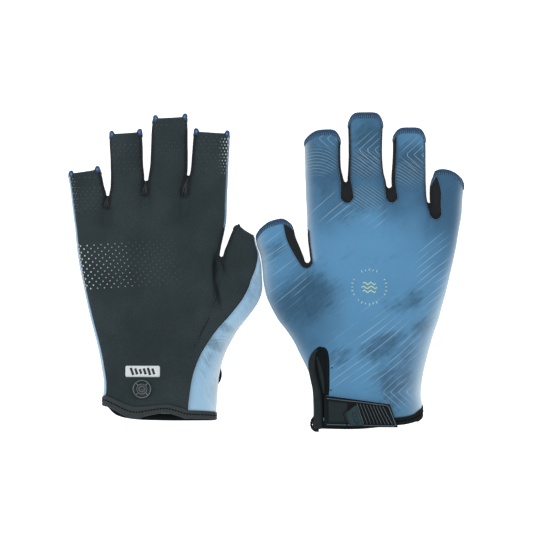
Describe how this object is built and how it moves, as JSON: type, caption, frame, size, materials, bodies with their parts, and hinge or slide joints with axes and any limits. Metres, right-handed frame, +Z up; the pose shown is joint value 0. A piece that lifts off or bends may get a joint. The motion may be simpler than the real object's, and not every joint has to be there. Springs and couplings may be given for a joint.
{
  "type": "pair of sailing gloves",
  "caption": "Half-finger sailing gloves, one shown back up and one palm up, with a grip palm, a stretch back and a hook-and-loop wrist strap.",
  "frame": {"origin": "centre of the pair's overall box, on the table the gloves lie on", "axes": "+Y towards the finger ends, +Z up off the table, +X from the palm-up glove to the back-up glove"},
  "size_m": [0.2628, 0.2088, 0.0239],
  "materials": {
    "back_cloth": "printed stretch knit, soft sheen",
    "palm_suede": "charcoal synthetic suede, matt",
    "black_knit": "ribbed stretch knit, matt",
    "edging_thread": "overlocked thread",
    "black_tape": "woven tape, matt",
    "moulded_rubber": "moulded, satin",
    "badge_rubber": "moulded, satin",
    "hook_tape": "hook tape",
    "loop_tape": "loop tape",
    "snap_plastic": "gunmetal grey, satin",
    "label_cloth": "woven label"
  },
  "bodies": {
    "back_up_glove": {"back_up_back_panel": "back_cloth", "back_up_palm_panel": "palm_suede", "back_up_thumb_panel": "palm_suede", "back_up_fourchette_index_middle": "black_knit", "back_up_fourchette_middle_ring": "black_knit", "back_up_fourchette_ring_little": "black_knit", "back_up_thumb_gusset": "black_knit", "back_up_slit_gusset": "black_knit", "back_up_thumb_edging": "edging_thread", "back_up_index_edging": "edging_thread", "back_up_middle_edging": "edging_thread", "back_up_ring_edging": "edging_thread", "back_up_little_edging": "edging_thread", "back_up_wrist_tape": "black_tape", "back_up_slit_edging": "black_tape", "back_up_strap_anchor": "black_tape", "back_up_loop_patch": "loop_tape", "back_up_snap_ring": "snap_plastic", "back_up_snap_button": "snap_plastic", "back_up_snap_backing": "snap_plastic", "back_up_wrist_label": "label_cloth"},
    "back_up_closure": {"back_up_closure_strap": "black_tape", "back_up_pull_tab": "moulded_rubber", "back_up_tab_badge": "badge_rubber", "back_up_hook_patch": "hook_tape"},
    "palm_up_glove": {"palm_up_back_panel": "back_cloth", "palm_up_palm_panel": "palm_suede", "palm_up_thumb_panel": "palm_suede", "palm_up_fourchette_index_middle": "black_knit", "palm_up_fourchette_middle_ring": "black_knit", "palm_up_fourchette_ring_little": "black_knit", "palm_up_thumb_gusset": "black_knit", "palm_up_slit_gusset": "black_knit", "palm_up_thumb_edging": "edging_thread", "palm_up_index_edging": "edging_thread", "palm_up_middle_edging": "edging_thread", "palm_up_ring_edging": "edging_thread", "palm_up_little_edging": "edging_thread", "palm_up_wrist_tape": "black_tape", "palm_up_slit_edging": "black_tape", "palm_up_strap_anchor": "black_tape", "palm_up_loop_patch": "loop_tape", "palm_up_snap_ring": "snap_plastic", "palm_up_snap_button": "snap_plastic", "palm_up_snap_backing": "snap_plastic", "palm_up_wrist_label": "label_cloth"},
    "palm_up_closure": {"palm_up_closure_strap": "black_tape", "palm_up_pull_tab": "moulded_rubber", "palm_up_tab_badge": "badge_rubber", "palm_up_hook_patch": "hook_tape"}
  },
  "joints": [
    {"name": "back_up_strap_peel", "type": "hinge", "parent": "back_up_glove", "child": "back_up_closure", "pos_m": [0.0376, -0.0935, 0.0196], "axis": [0, -1, 0], "range_deg": [0, 110]},
    {"name": "palm_up_lift", "type": "slide", "parent": "back_up_glove", "child": "palm_up_glove", "axis": [0, 0, 1], "range_m": [0, 0.12]},
    {"name": "palm_up_strap_peel", "type": "hinge", "parent": "palm_up_glove", "child": "palm_up_closure", "pos_m": [-0.0407, -0.0883, 0.004], "axis": [0, -1, 0], "range_deg": [0, 110]}
  ]
}
